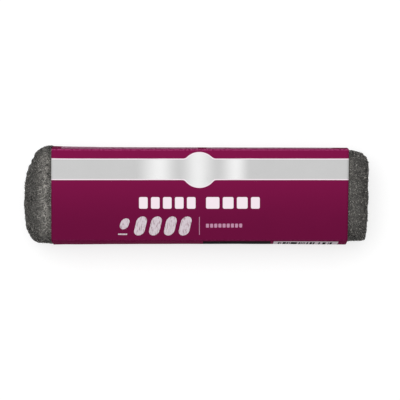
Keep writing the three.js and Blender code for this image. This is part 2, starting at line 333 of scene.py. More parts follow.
def makeShapeGroup(setup):
    group, given, result = newGroup(
        "printedShape",
        [("Along", "NodeSocketFloat", 0.0), ("Up", "NodeSocketFloat", 0.0),
         ("Middle Along", "NodeSocketFloat", 0.0), ("Middle Up", "NodeSocketFloat", 0.0),
         ("Width", "NodeSocketFloat", 1.0), ("Height", "NodeSocketFloat", 1.0),
         ("Corner", "NodeSocketFloat", 0.1), ("Slant", "NodeSocketFloat", 0.0)],
        [("Ink", "NodeSocketFloat")],
    )
    up = maths(group, "SUBTRACT", given["Up"], given["Middle Up"])
    lean = maths(group, "MULTIPLY", up, given["Slant"])
    along = maths(group, "SUBTRACT", maths(group, "SUBTRACT", given["Along"], given["Middle Along"]), lean)
    sides = []
    for value, size in ((along, given["Width"]), (up, given["Height"])):
        half = maths(group, "SUBTRACT", maths(group, "MULTIPLY", size, 0.5), given["Corner"])
        sides.append(maths(group, "SUBTRACT", maths(group, "ABSOLUTE", value), half))
    outside = [maths(group, "MAXIMUM", side, 0.0) for side in sides]
    squares = maths(group, "ADD", *[maths(group, "MULTIPLY", side, side) for side in outside])
    inside = maths(group, "MINIMUM", maths(group, "MAXIMUM", *sides), 0.0)
    distance = maths(group, "ADD", maths(group, "SQRT", squares), inside)
    distance = maths(group, "SUBTRACT", distance, given["Corner"])  # 0 on the edge, below 0 inside
    soft = setup["edgeSoftness"]
    put(group, result["Ink"], remap(group, distance, -soft, soft, 1.0, 0.0))
    return group


tangleGroup = makeTangleGroup(tangleSetup)
paperGroup = makePaperGroup(paperSetup)
shapeGroup = makeShapeGroup(shapeSetup)

# steel wool
woolLook = {
    "dark": colour(40, 39, 38),
    "coreLight": colour(112, 110, 106),
    "coreSpacing": 0.45,
    "coreWidth": 0.05,
    "coreBump": 0.7,
    "coreSurface": {"Metallic": 0.4, "Roughness": 0.6},
    # the pale that the strands' painted glints and painted highlight reach
    "strandLight": colour(222, 218, 211),
    "speckScale": 1800.0,
    "glintSpecks": (0.56, 0.78, 0.5),  # painted glints: where in the noise they start, where they are full, and how bright
    "strandSurface": {"Metallic": 0.6, "Roughness": 0.36, "Specular IOR Level": 0.2},
}


def makeCoreMaterial(look):
    material, tree, shader = newMaterial("steelWoolCore")
    place = tree.nodes.new("ShaderNodeTexCoord").outputs["Object"]
    tangle = useGroup(tree, tangleGroup, {
        "Place": place, "Strand Spacing": look["coreSpacing"], "Strand Width": look["coreWidth"],
        "Dark": look["dark"], "Light": look["coreLight"],
    })
    put(tree, shader.inputs["Base Color"], tangle["Color"])
    put(tree, shader.inputs["Normal"], bumpNode(tree, tangle["Height"], look["coreBump"]))
    setInputs(shader, look["coreSurface"])
    return material


def makeStrandMaterial(look):
    material, tree, shader = newMaterial("steelWoolStrands")
    tone = tree.nodes.new("ShaderNodeAttribute")
    tone.attribute_name = "strandGlintAndHighlight"
    place = tree.nodes.new("ShaderNodeTexCoord").outputs["Object"]
    # painted glints: small bright specks over the strands
    low, high, brightest = look["glintSpecks"]
    noise = noiseNode(tree, place, look["speckScale"], detail=0)
    glintSpecks = remap(tree, noise, low, high, 0.0, brightest)
    share = maths(tree, "ADD", tone.outputs["Fac"], glintSpecks, clamp=True)
    mixed = mixColours(tree, share, look["dark"], look["strandLight"])
    put(tree, shader.inputs["Base Color"], mixed)
    setInputs(shader, look["strandSurface"])
    return material


# printed paper. Along is the frame's X, and up is measured round the sheet from the middle of the front.
printLook = {
    # the lower magenta is partly a printed gradient and partly painted shade, where the light from above
    # falls off down the front
    "magentaUpper": colour(129, 23, 73),
    "magentaLower": colour(106, 18, 60),
    "pale": colour(246, 232, 240),
    "paleGrey": colour(214, 203, 210),
    "thin": colour(190, 140, 168),
    "fine": colour(220, 176, 200),
    "black": colour(22, 12, 17),
    # the pale pink along the creases is worn ink, and on the upper crease also a painted highlight
    "crease": colour(206, 86, 146),
    "creaseWearAndHighlight": {"upper": 0.8, "lower": 0.12, "past": 0.1, "reach": (0.1, 0.9), "scale": 900.0,
                   "patches": (0.36, 0.6)},
    "frontShadeFade": (-24.0, 24.0),  # the ground darkens a little down the front: painted shade of the light from above, partly also a printed gradient
    "sideShadeFade": (-26.0, -27.5),  # and is bright again on the lower side, where the painted shade stops
    "band": {"middle": 14.57, "width": 12.2, "disc": (1.83, 14.2), "radius": 10.2, "fillet": 1.6,
             "keyline": 0.6, "soft": 0.05},
    "sheen": ((-35.3, 203), (-21, 242), (-9.75, 206), (1.0, 240), (12.4, 206), (22.6, 242), (31, 203)),
    "largeBlocks": {"up": -4.5, "height": 6.6, "corner": 0.9, "gap": 1.9,
                    "groups": ((-32.45, (4.9, 4.9, 4.9, 4.9, 4.9)), (5.6, (7.6, 6.1, 6.1, 5.0)))},
    "ovals": {"first": -31.6, "pitch": 8.46, "count": 4,
              "form": {"up": -17.6, "width": 6.0, "height": 10.8, "corner": 3.0, "slant": 0.24}},
    "smallOval": {"along": -40.6, "up": -16.4, "width": 5.0, "height": 6.2, "corner": 2.5, "slant": 0.3},
    "dash": {"along": -41.8, "up": -22.3, "width": 5.2, "height": 0.8, "corner": 0.3},
    "brush": {"turn": 0.25, "stretch": (2.4, 0.35, 1), "dry": 0.36, "full": 0.5, "faintest": 0.35},
    "rule": {"along": 1.83, "up": -17.5, "width": 0.36, "height": 10.2},
    "thinRow": {"first": 6.4, "pitch": 2.36, "count": 9,
                "form": {"up": -17.4, "width": 1.7, "height": 2.2, "corner": 0.4}},
    "lowerField": {"along": 23.2, "up": -39.0, "width": 38.6, "height": 23.0, "corner": 0.3},
    "stripePanel": {"along": 62.6, "up": -39.5, "width": 36.9, "height": 22.5, "corner": 0.3},
    "stripes": {"along": 62.6, "up": -39.5, "width": 31.9, "height": 17.5},
    "stripesPerMm": 2.2,
    # fine print on the upper side, spread and paled to stand also for painted light there
    "smallDashes": {"up": 38.5, "height": 20, "rowPitch": 1.6, "rowStep": 7.3, "dashScale": 0.8,
                    "gaps": (0.4, 0.43), "rowEdge": (0.26, 0.32), "blocks": ((-38, 78), (42, 72))},
    "grain": {"Grain Size": 0.7, "Unevenness": 0.12},
    "bump": 0.15,
    "surface": {"Roughness": 0.5, "Specular IOR Level": 0.001},
}


def anyOf(tree, masks):
    total = masks[0]
    for mask in masks[1:]:
        total = maths(tree, "MAXIMUM", total, mask)
    return total


# at holds where a point lies on the sheet
def shape(tree, at, along, up, width, height, corner=0.1, slant=0.0):
    return useGroup(tree, shapeGroup, {
        "Along": at["along"], "Up": at["up"], "Middle Along": along, "Middle Up": up,
        "Width": width, "Height": height, "Corner": corner, "Slant": slant,
    })["Ink"]


def rowOf(tree, at, row):
    return [shape(tree, at, row["first"] + step * row["pitch"], **row["form"])
            for step in range(row["count"])]


# The magenta ground, darker down the front: partly a printed gradient, partly painted shade of the light
# from above.
def printGround(tree, at, look):
    light = maths(tree, "MAXIMUM", remap(tree, at["up"], *look["frontShadeFade"]),
                  remap(tree, at["up"], *look["sideShadeFade"]))
    return mixColours(tree, light, look["magentaLower"], look["magentaUpper"])


# From here on each layer goes over the colour printed so far.
def printBand(tree, at, look, printed):  # silver, with a round middle and a pale keyline
    band = look["band"]
    offMiddle = maths(tree, "ABSOLUTE", maths(tree, "SUBTRACT", at["up"], band["middle"]))
    strip = maths(tree, "SUBTRACT", offMiddle, band["width"] / 2)
    reach = [maths(tree, "SUBTRACT", value, middle)
             for value, middle in zip((at["along"], at["up"]), band["disc"])]
    squares = maths(tree, "ADD", *[maths(tree, "MULTIPLY", value, value) for value in reach])
    disc = maths(tree, "SUBTRACT", maths(tree, "SQRT", squares), band["radius"])
    silverEdge = maths(tree, "SMOOTH_MIN", strip, disc, band["fillet"])
    ramp = tree.nodes.new("ShaderNodeValToRGB")
    left, right = look["sheen"][0][0], look["sheen"][-1][0]
    stops = ramp.color_ramp.elements
    while len(stops) < len(look["sheen"]):
        stops.new(0.5)
    for stop, (middle, grey) in zip(stops, look["sheen"]):
        stop.position = (middle - left) / (right - left)
        stop.color = colour(grey, grey, grey)
    ramp.color_ramp.interpolation = "EASE"
    fromLeft = maths(tree, "SUBTRACT", at["along"], left)
    put(tree, ramp.inputs["Fac"], maths(tree, "DIVIDE", fromLeft, right - left))
    for inset, ink in ((0, look["pale"]), (band["keyline"], ramp.outputs["Color"])):
        mask = remap(tree, silverEdge, -inset - band["soft"], -inset + band["soft"], 1.0, 0.0)
        printed = mixColours(tree, mask, printed, ink)
    return printed


def printLargeBlocks(tree, at, look, printed):  # in solid pale ink
    large = look["largeBlocks"]
    blocks = []
    for start, widths in large["groups"]:
        for width in widths:
            middle = start + width / 2
            blocks.append(shape(tree, at, middle, large["up"], width, large["height"], large["corner"]))
            start += width + large["gap"]
    return mixColours(tree, anyOf(tree, blocks), printed, look["pale"])


def printOvals(tree, at, look, printed):  # dry-brushed
    brush = look["brush"]
    brushed = [*rowOf(tree, at, look["ovals"]), shape(tree, at, **look["smallOval"]),
               shape(tree, at, **look["dash"])]
    stretched = tree.nodes.new("ShaderNodeMapping")
    stretched.inputs["Rotation"].default_value = (0, 0, brush["turn"])
    stretched.inputs["Scale"].default_value = brush["stretch"]
    put(tree, stretched.inputs["Vector"], at["sheet"])
    streaks = noiseNode(tree, stretched.outputs["Vector"], 1.0, detail=3, roughness=0.6)
    dryInk = remap(tree, streaks, brush["dry"], brush["full"], brush["faintest"], 1.0)
    ink = maths(tree, "MULTIPLY", anyOf(tree, brushed), dryInk)
    return mixColours(tree, ink, printed, look["paleGrey"])


def printThin(tree, at, look, printed):  # a thin rule and a row of small blocks
    thin = [shape(tree, at, **look["rule"]), *rowOf(tree, at, look["thinRow"])]
    return mixColours(tree, anyOf(tree, thin), printed, look["thin"])


def printLowerSide(tree, at, look, printed):  # a black field and a pale panel of stripes
    stripes = tree.nodes.new("ShaderNodeTexWhiteNoise")
    stripes.noise_dimensions = "1D"
    number = maths(tree, "FLOOR", maths(tree, "MULTIPLY", at["along"], look["stripesPerMm"]))
    put(tree, stripes.inputs["W"], number)
    isBlack = maths(tree, "LESS_THAN", stripes.outputs["Value"], 0.5)
    stripeInk = maths(tree, "MULTIPLY", shape(tree, at, **look["stripes"]), isBlack)
    for mask, ink in ((shape(tree, at, **look["lowerField"]), look["black"]),
                      (shape(tree, at, **look["stripePanel"]), look["pale"]),
                      (stripeInk, look["black"])):
        printed = mixColours(tree, mask, printed, ink)
    return printed


def printUpperSideAndLight(tree, at, look, printed):  # rows of short uneven dashes: fine print, spread along the whole side and made pale enough to stand also for painted light on the upper side, which faces the light
    fine = look["smallDashes"]
    rows = maths(tree, "DIVIDE", at["up"], fine["rowPitch"])
    withinRow = maths(tree, "ABSOLUTE", maths(tree, "SUBTRACT", maths(tree, "FRACT", rows), 0.5))
    spot = tree.nodes.new("ShaderNodeCombineXYZ")
    put(tree, spot.inputs["X"], at["along"])
    put(tree, spot.inputs["Y"], maths(tree, "MULTIPLY", maths(tree, "FLOOR", rows), fine["rowStep"]))
    uneven = noiseNode(tree, spot.outputs[0], fine["dashScale"], detail=1)
    dashes = remap(tree, uneven, *fine["gaps"])
    dashes = maths(tree, "MULTIPLY", dashes, remap(tree, withinRow, *fine["rowEdge"], 1.0, 0.0))
    blocks = [shape(tree, at, middle, fine["up"], width, fine["height"])
              for middle, width in fine["blocks"]]
    dashesAndLight = maths(tree, "MULTIPLY", anyOf(tree, blocks), dashes)
    return mixColours(tree, dashesAndLight, printed, look["fine"])


def wearAndHighlightCreases(tree, at, look, printed):  # ink worn off along the creases of the front, with a painted highlight where the upper crease catches the light from above
    wornAndLit = look["creaseWearAndHighlight"]
    crease = sleeve["frontWidth"] / 2 + wornAndLit["past"]
    offFold = maths(tree, "SUBTRACT", maths(tree, "ABSOLUTE", at["up"]), crease)
    nearFold = remap(tree, maths(tree, "ABSOLUTE", offFold), *wornAndLit["reach"], 1.0, 0.0)
    uneven = noiseNode(tree, at["place"], wornAndLit["scale"], detail=3, roughness=0.6)
    patches = remap(tree, uneven, *wornAndLit["patches"])
    wearAndHighlight = maths(tree, "MULTIPLY", nearFold, patches)
    # the upper crease is painted much paler than the lower: painted highlight from the light above
    amount = remap(tree, at["up"], -1.0, 1.0, wornAndLit["lower"], wornAndLit["upper"])
    return mixColours(tree, maths(tree, "MULTIPLY", wearAndHighlight, amount), printed, look["crease"])


def makePaper(tree, shader, place, base, look):
    paper = useGroup(tree, paperGroup, {"Place": place, **look["grain"], "Base": base})
    put(tree, shader.inputs["Base Color"], paper["Color"])
    put(tree, shader.inputs["Normal"], bumpNode(tree, paper["Height"], look["bump"]))
    setInputs(shader, look["surface"])


def makePrintMaterial(look):
    material, tree, shader = newMaterial("printedPaper")
    sheet = tree.nodes.new("ShaderNodeUVMap")
    sheet.uv_map = "sheet"
    split = tree.nodes.new("ShaderNodeSeparateXYZ")
    put(tree, split.inputs[0], sheet.outputs["UV"])
    place = tree.nodes.new("ShaderNodeTexCoord").outputs["Object"]
    at = {"along": split.outputs["X"], "up": split.outputs["Y"], "sheet": sheet.outputs["UV"],
          "place": place}
    printed = printGround(tree, at, look)
    for layer in (printBand, printLargeBlocks, printOvals, printThin, printLowerSide, printUpperSideAndLight,
                  wearAndHighlightCreases):
        printed = layer(tree, at, look, printed)
    makePaper(tree, shader, place, printed, look)
    return material


# paper without print, inside the sleeve and on its cut edges
bareLook = {
    "white": colour(226, 222, 214),
    "grain": {"Grain Size": 0.5, "Unevenness": 0.2},
    "bump": 0.3,
    "surface": {"Roughness": 0.8},
}


def makeBareMaterial(look):
    material, tree, shader = newMaterial("barePaper")
    place = tree.nodes.new("ShaderNodeTexCoord").outputs["Object"]
    makePaper(tree, shader, place, look["white"], look)
    return material


coreMaterial = makeCoreMaterial(woolLook)
strandMaterial = makeStrandMaterial(woolLook)
printMaterial = makePrintMaterial(printLook)
bareMaterial = makeBareMaterial(bareLook)
print("materials made")


# sleeve mesh
def bowedPanel(start, end, bow, shares):
    along = end - start
    length = math.hypot(*along)
    outward = np.array([along[1], -along[0]]) / length
    margin = sleeve["creaseEase"] / length
    at = np.clip(shares, margin, 1 - margin)[:, None]
    return start + along * at + outward * bow * 4 * at * (1 - at)


def creasePoints(before, corner, after):
    at = np.linspace(0, 1, sleeve["creaseSteps"] + 1)[1:-1, None]
    return (1 - at) ** 2 * before + 2 * at * (1 - at) * corner + at ** 2 * after


def sheetOutline(x, inset):
    half = sleeve["frontWidth"] / 2 - inset
    back = backFace + inset
    front = sleeve["height"] - sleeve["frontCrown"] - inset
    corners = np.array([[half, back], [half, front], [-half, front], [-half, back]])
    margin = sleeve["creaseEase"] / sleeve["frontWidth"]
    sides = np.linspace(margin / 2, 1 - margin / 2, sleeve["panelSteps"] + 1)
    fronts = np.linspace(margin / 2, 1 - margin / 2, sleeve["frontSteps"] + 1)
    upper = bowedPanel(corners[0], corners[1], float(alongSleeve(sleeve["upperBulge"], x)), sides)
    face = bowedPanel(corners[1], corners[2], sleeve["frontCrown"], fronts)
    lower = bowedPanel(corners[2], corners[3], float(alongSleeve(sleeve["lowerBulge"], x)), sides)
    backStart, backEnd = bowedPanel(corners[3], corners[0], 0, np.array([0.0, 1.0]))
    flap, ease, thick = sleeve["flapWidth"] / 2, sleeve["flapEase"], sleeve["thickness"]
    steps = np.linspace(0, 1, sleeve["backSteps"] + 1)[:-1, None]
    if inset == 0:
        lap = np.array([(-flap, backFace), (-flap, 0), (flap, 0), (flap + ease, backFace)])
        onLap = blend(lap[1], lap[2], steps)
    else:
        lap = np.array([(-flap, 2 * thick), (flap, 2 * thick), (flap, thick), (flap + ease, 2 * thick)])
        onLap = np.repeat(lap[1:2], len(steps), axis=0)  # in one place, to match the outside in number
    outline = np.vstack([
        blend(backStart, lap[0], steps),
        lap[0],
        onLap,
        lap[2],
        blend(lap[3], backEnd, steps),
        backEnd,
        creasePoints(backEnd, corners[0], upper[0]),
        upper,
        creasePoints(upper[-1], corners[1], face[0]),
        face,
        creasePoints(face[-1], corners[2], lower[0]),
        lower,
        creasePoints(lower[-1], corners[3], backStart),
    ])
    return outline - [sleeve["drop"], 0]


def sheetPlaces(outline):  # how far round the sheet each point lies, from the middle of the front
    lengths = np.hypot(*np.diff(outline, axis=0).T)
    travelled = np.concatenate([[0], np.cumsum(lengths)])
    onFront = outline[:, 1] > sleeve["height"] / 2
    order = np.argsort(outline[onFront, 0])
    middle = np.interp(-sleeve["drop"], outline[onFront, 0][order], travelled[onFront][order])
    return middle - travelled


def sheetFaces(stations, count):  # the faces, and for each whether it is bare of print
    innerFirst = (stations + 1) * count
    outside = [ringBand(station * count, (station + 1) * count, count) for station in range(stations)]
    inside = [band[:, ::-1] + innerFirst for band in outside]
    nearRim, farRim = (ringBand(first, first + innerFirst, count)[:, [0, 3, 2, 1]]
                       for first in (0, stations * count))
    faces = np.vstack([*outside, *inside, nearRim, farRim[:, ::-1]])
    return faces, np.arange(len(faces)) >= stations * count


def wandering(outer):  # how the sheet wanders a little off its panels, more near its cut ends
    middle = np.array([0, -sleeve["drop"], sleeve["height"] / 2])
    away = (outer - middle) * [0, 1, 1]
    away /= np.linalg.norm(away, axis=-1, keepdims=True)
    wave = (lumps(outer * sleeve["waveStretch"], **sleeve["longWave"])
            + sleeve["shortShare"] * lumps(outer, **sleeve["shortWave"]))
    nearEnd = np.abs(np.linspace(-1, 1, len(outer))) ** sleeve["endEase"]
    offset = (wave * sleeve["waveHeight"] * (1 + nearEnd[:, None]))[:, :, None] * away
    offset[outer[:, :, 2] < sleeve["backHeight"]] = 0
    return offset


def makeSleeve():
    outer, inner, ups = [], [], []
    for share in np.linspace(0, 1, sleeve["stations"] + 1):
        x = blend(sleeveLeft, sleeveRight, share)
        for faces, inset in ((outer, 0), (inner, sleeve["thickness"])):
            outline = sheetOutline(x, inset)
            rightCut = sleeveRight + sleeve["cutSkew"] * outline[:, 0] / sleeve["frontWidth"]
            faces.append(np.column_stack([blend(sleeveLeft, rightCut, share), outline]))
        ups.append(sheetPlaces(outer[-1][:, 1:]))
    outer, inner, ups = np.array(outer), np.array(inner), np.array(ups)
    offset = wandering(outer)
    points = np.concatenate([(outer + offset).reshape(-1, 3), (inner + offset).reshape(-1, 3)])
    faces, isBare = sheetFaces(sleeve["stations"], outer.shape[1])
    piece = addMesh("paper_wrapper", points, faces, [printMaterial, bareMaterial])
    piece.data.polygons.foreach_set("material_index", isBare.astype(int))

    # the sheet laid flat, in millimetres, for the print
    layout = piece.data.uv_layers.new(name="sheet")
    alongs = np.tile((outer[:, :, 0] + shift[0]).ravel(), 2)
    flat = np.column_stack([alongs, np.tile(ups.ravel(), 2)])
    corners = np.empty(len(piece.data.loops), int)
    piece.data.loops.foreach_get("vertex_index", corners)
    layout.data.foreach_set("uv", flat[corners].ravel())
    piece.data.update()
    return piece


wrapper = makeSleeve()
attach(wrapper, "root")
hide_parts("paper_sleeve")
print("sleeve folded")

# The roll of steel wool, shaped as in part.mjs
roll = {
    "turns": 5,
    "pastLeft": 17.1,
    "pastRight": 14.2,
    "clearance": 0.45,
    "freeEdge": 0.9,
    "freeEdgePlace": 13.5,
    "creep": 0.8,
    "furrow": 2.1,
    "furrowEase": 2.2,
    "eyeDepth": 0.45,
    "rimFurrow": 0.2,
    "rimFade": 0.9,  # how far out on the end face the furrows start to run out
    "wander": 0.4,
    "wanderRate": 2.6,
    "growth": 1.6,
    "rimRounding": 0.5,
    "roundingEase": 4,
    "edgeRise": 3,
    "squareness": 6,  # of its section just inside the mouths of the sleeve
    "packed": {"clearance": 0.16, "squareness": 50},  # further in, where it fills the sleeve's corners
    "packedEase": (50, 78),  # how far from the middle it changes from one to the other
    "leftSwell": 2.6,
    "leftRise": 0.8,
    "leftCrestEase": 3.6,
    "leftLift": 0.4,
    "leftSquareness": 4.2,
    "rightInset": {"upper": 0.9, "lower": 1.2, "front": 1, "back": 0.6},
    "rightSquareness": 5,
    "rightSlant": 2.1,
    "rightTaper": 28,
    "rightSag": 1.6,
    "sectors": 64,  # the source's own count, which sets where the free edge steps down
    "around": 288,
    "endRings": 64,
    "ringEase": 1.5,
    "sideRings": 18,
    "hiddenRings": 24,
    "mouthGaps": (0.1, 0.6),  # how far off a mouth the next ring lies: outside the left one, inside both
    "swells": ((0.5, 0.22, 0.15), (-0.33, 0.45, 0.24), (0.2, -0.38, 0.52), (0.62, -0.15, -0.35),
               (0.12, 0.6, -0.2)),  # the directions of the felt's slow swells
    "swellHeight": 0.1,
    "swellEase": (1, 3),
    "hiddenLumps": 0.3,
    "lumps": ((2.6, 10, 0.03), (1.1, 11, 0.04)),  # size, seed and height of the smaller lumps
    "strandRoom": 0.25,  # the felt lies this much lower, so that its strands reach the true outline
}
leftDome = {"shallow": (8.2, 3.2), "steep": (3.8, 6.5), "power": 12}
rightDome = {"shallow": (0.5, 0.2), "steep": (7, 1), "power": 14}

startAngle = math.atan2(1, roll["freeEdgePlace"] / (sleeve["frontWidth"] / 2))
stepAngle = roll["freeEdge"] / (sleeve["frontWidth"] / 2)
edgeShare = roll["freeEdge"] / (sleeve["height"] / 2)


def rollReach(x):
    upperBow = alongSleeve(sleeve["upperBulge"], x)
    lowerBow = alongSleeve(sleeve["lowerBulge"], x)
    loosened = smoothStep(np.abs(x), *roll["packedEase"])
    clearance, squareness = (blend(roll["packed"][key], roll[key], loosened)
                             for key in ("clearance", "squareness"))
    paperReach = sleeve["frontWidth"] / 2 - sleeve["thickness"] - clearance
    bound = {
        "upper": paperReach + upperBow - sleeve["drop"],
        "lower": paperReach + lowerBow + sleeve["drop"],
        "front": sleeve["height"] - sleeve["thickness"] - clearance,
        "back": backFace + sleeve["thickness"] + clearance,
        "squareness": squareness,
    }
    swell = sleeve["frontWidth"] / 2 + roll["leftSwell"]
    left = {
        "upper": swell,
        "lower": swell,
        "front": sleeve["height"] + roll["leftRise"],
        "back": backFace + roll["leftLift"],
        "squareness": roll["leftSquareness"],
    }
    inset = roll["rightInset"]
    right = {
        "upper": bound["upper"] - inset["upper"],
        "lower": bound["lower"] - inset["lower"],
        "front": bound["front"] - inset["front"],
        "back": bound["back"] + inset["back"],
        "squareness": roll["rightSquareness"],
    }
    swollen = 1 - smoothStep(x, sleeveLeft - 3 * roll["clearance"], sleeveLeft - roll["clearance"])
    crested = 1 - smoothStep(x, sleeveLeft - roll["leftCrestEase"], sleeveLeft - roll["clearance"])
    narrowed = smoothStep(x, sleeveRight - roll["rightTaper"], sleeveRight)
    reach = {}
    for key in bound:
        leftwards = blend(bound[key], left[key], crested if key == "front" else swollen)
        reach[key] = blend(leftwards, right[key], narrowed)
    reach["front"] = reach["front"] - roll["rightSag"] * smoothStep(
        x, sleeveRight, sleeveRight + roll["pastRight"])
    return {**reach, "upperBow": upperBow, "lowerBow": lowerBow}


def sectionPoints(x, turn, out, inset):  # turn is the share of the way round from the free edge
    reach = rollReach(x)
    angle = startAngle + turn * roll["sectors"] / (roll["sectors"] - 1) * (2 * math.pi - stepAngle)
    power = reach["squareness"]
    size = (np.abs(np.cos(angle)) ** power + np.abs(np.sin(angle)) ** power) ** (-1 / power)
    across, high = np.cos(angle) * size, np.sin(angle) * size
    halfHeight = (reach["front"] - reach["back"]) / 2
    halfSlit = (reach["upper"] + reach["lower"]) / 2 - halfHeight
    side = np.where(across > 0, reach["upper"], reach["lower"])
    bow = np.where(across > 0, reach["upperBow"], reach["lowerBow"])
    outlineY = side - bow * high ** 2 - inset
    outlineZ = halfHeight - np.where(high > 0, sleeve["frontCrown"], 0) * across ** 2 - inset
    y = across * blend(halfSlit, outlineY, out)
    z = high * outlineZ * out
    fromMiddle = (np.abs(y / outlineY) ** power + np.abs(high * out) ** power) ** (1 / power)
    return across, fromMiddle, y, z + (reach["front"] + reach["back"]) / 2


def outerFace(turn):  # the outline of the roll, which steps down at the free edge
    sector = turn * roll["sectors"] / (roll["sectors"] - 1)
    return 1 - edgeShare * (1 - np.clip(sector, 0, 1)) ** roll["edgeRise"]


def endDepth(end, across, fromMiddle, creepShare):
    upperSide = (1 + across) / 2
    shallow, steep = (blend(end["dome"][key][1], end["dome"][key][0], upperSide)
                      for key in ("shallow", "steep"))
    slant = (end["slant"] / 2) * (1 - across * fromMiddle)
    return (shallow * fromMiddle ** 2 + steep * fromMiddle ** end["dome"]["power"]
            + slant + end["creep"] * creepShare)


def furrows(turn, out):  # how deep a place lies between two turns, from 0 on a ridge to 1
    climb = turn ** roll["growth"]
    spiral = out / (1 - edgeShare) * roll["turns"] - climb
    number = np.clip(np.floor(spiral), -1, roll["turns"] - 1)
    inner = np.where(number < 0, 0, (number + climb) / roll["turns"] * (1 - edgeShare))
    outerTurn = (number + 1 + climb) / roll["turns"] * (1 - edgeShare)
    outer = np.where(number >= roll["turns"] - 1, outerFace(turn), outerTurn)
    level = np.clip((out - inner) / np.maximum(outer - inner, 1e-3), 0, 1)
    depth = np.abs(2 * level - 1) ** roll["furrowEase"]
    depth = np.where(number < 0, blend(roll["eyeDepth"], 1, level ** 2), depth)
    depth = np.where((number >= roll["turns"] - 1) & (level > 0.5), 0, depth)
    creepShare = np.where(number >= roll["turns"] - 1, 1 - turn, 1)
    return depth, creepShare, number + turn + level


ends = [
    {"tip": sleeveLeft - roll["pastLeft"], "inward": 1, "dome": leftDome, "slant": 0, "creep": 0},
    {"tip": sleeveRight + roll["pastRight"], "inward": -1, "dome": rightDome,
     "slant": roll["rightSlant"], "creep": roll["creep"]},
]


def rimPlaces(end, turn):
    across = sectionPoints(np.full_like(turn, end["tip"]), turn, 1, 0)[0]
    return end["tip"] + end["inward"] * endDepth(end, across, 1, 1 - turn)


def endSurface(end, turn):  # rings of points from the eye of the spiral out to the rim
    rings = []
    shares = 1 - (1 - np.linspace(0, 1, roll["endRings"] + 1)) ** roll["ringEase"]
    rim = rimPlaces(end, turn)
    for share in shares[1:]:
        out = share * outerFace(turn)
        across, fromMiddle, y, z = sectionPoints(rim, turn, out, roll["rimRounding"])
        depth, creepShare, wound = furrows(turn, out)
        uneven = roll["wander"] * np.sin(roll["wanderRate"] * wound) * (1 - fromMiddle)
        fade = 1 - smoothStep(share, roll["rimFade"], 1.0)
        x = end["tip"] + end["inward"] * (
            endDepth(end, across, fromMiddle, creepShare) + uneven
            + roll["furrow"] * depth * fade * blend(1, roll["rimFurrow"], fromMiddle))
        rings.append(np.column_stack([x, y, z]))
    return rings


def sideRing(x, turn, inset):
    return np.column_stack([x, *sectionPoints(x, turn, outerFace(turn), inset)[2:]])


def bareSide(end, mouth, turn):  # rings from the rim of an end to the mouth of the sleeve
    rim = rimPlaces(end, turn)
    shares = np.linspace(0, 1, roll["sideRings"] + 1)[1:]
    return [sideRing(blend(rim, mouth, share), turn,
                     roll["rimRounding"] * (1 - share) ** roll["roundingEase"]) for share in shares]


def rollSurface():
    turn = np.linspace(0, (roll["sectors"] - 1) / roll["sectors"], roll["around"])
    outside, inside = roll["mouthGaps"]
    left, right = ends
    hidden = [sideRing(np.full_like(turn, blend(sleeveLeft + inside, sleeveRight - inside, share)), turn, 0)
              for share in np.linspace(0, 1, roll["hiddenRings"] + 1)]
    return np.array([
        *endSurface(left, turn), *bareSide(left, sleeveLeft - outside, turn),
        *hidden,
        *bareSide(right, sleeveRight, turn)[::-1], *endSurface(right, turn)[::-1],
    ])


def gridNormals(grid):
    around = np.roll(grid, -1, axis=1) - np.roll(grid, 1, axis=1)
    along = np.gradient(grid, axis=0)
    normals = np.cross(around, along)
    return normals / np.maximum(np.linalg.norm(normals, axis=-1, keepdims=True), 1e-9)


def roughen(grid):
    bare = smoothStep(np.abs(grid[:, :, 0]) - sleeveRight, *roll["swellEase"])
    height = -roll["strandRoom"] * bare
    for number, way in enumerate(roll["swells"]):
        height += np.sin(grid @ np.array(way) + number) * roll["swellHeight"] * bare
    for size, seed, amount in roll["lumps"]:
        height += lumps(grid, size, seed) * amount * blend(roll["hiddenLumps"], 1, bare)
    return grid + gridNormals(grid) * height[:, :, None]


def makeRoll(grid):
    rings, count = grid.shape[:2]
    bands = [ringBand(ring * count, (ring + 1) * count, count) for ring in range(rings - 1)]
    # each eye is closed across its slit, point to mirrored point
    half = count // 2
    low, high = np.arange(half - 1), count - 1 - np.arange(half - 1)
    lid = np.column_stack([low, high, high - 1, low + 1])
    last = (rings - 1) * count
    faces = np.vstack([*bands, lid, lid[:, ::-1] + last])
    return addMesh("wool_roll", grid.reshape(-1, 3), faces, [coreMaterial])


surface = roughen(rollSurface())
woolRoll = makeRoll(surface)
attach(woolRoll, "root")
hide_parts("steel_wool_roll")
print("wool rolled")

# strands of wool over both bare ends
strands = {
    "count": 7400,  # in each piece
    "segments": 4,
    "length": (1.6, 4),
    "radius": 0.09,
    "thickness": (0.7, 1.3),  # of single strands, as a share of the radius
    "across": 1.3,  # how far a strand turns off the way the ribbon is rolled, in radians
    "curl": 0.7,
    "kink": 0.35,
    "lift": 0.12,
    "highest": 0.7,
    "wobble": 0.06,
    "glintRarity": 14.0,  # the higher, the fewer bright places the strands have: painted glints
    "crestHighlights": ((-87.8, 3.2, 0.5), (85, 9.0, 0.17)),  # painted highlight: where along the roll the strands are painted brighter, where the crests catch the light
    "crestHighlightHeights": (34, 41),  # and from which height up, so that only the tops facing the light get the painted highlight
    "sunk": 0.1,  # how far the ends of a strand dip into the felt
    "leastSpacing": (0.3, 0.1),  # taken for the surface's points where they crowd, across and along
}


def onSurface(grid, row, column):
    rows, count = grid.shape[:2]
    row = np.clip(row, 0, rows - 1.001)
    column = np.mod(column, count)
    r, c = np.floor(row).astype(int), np.floor(column).astype(int)
    v, u = (row - r)[:, None], (column - c)[:, None]
    nextC = (c + 1) % count
    near = blend(grid[r, c], grid[r, nextC], u)
    far = blend(grid[r + 1, c], grid[r + 1, nextC], u)
    return blend(near, far, v)


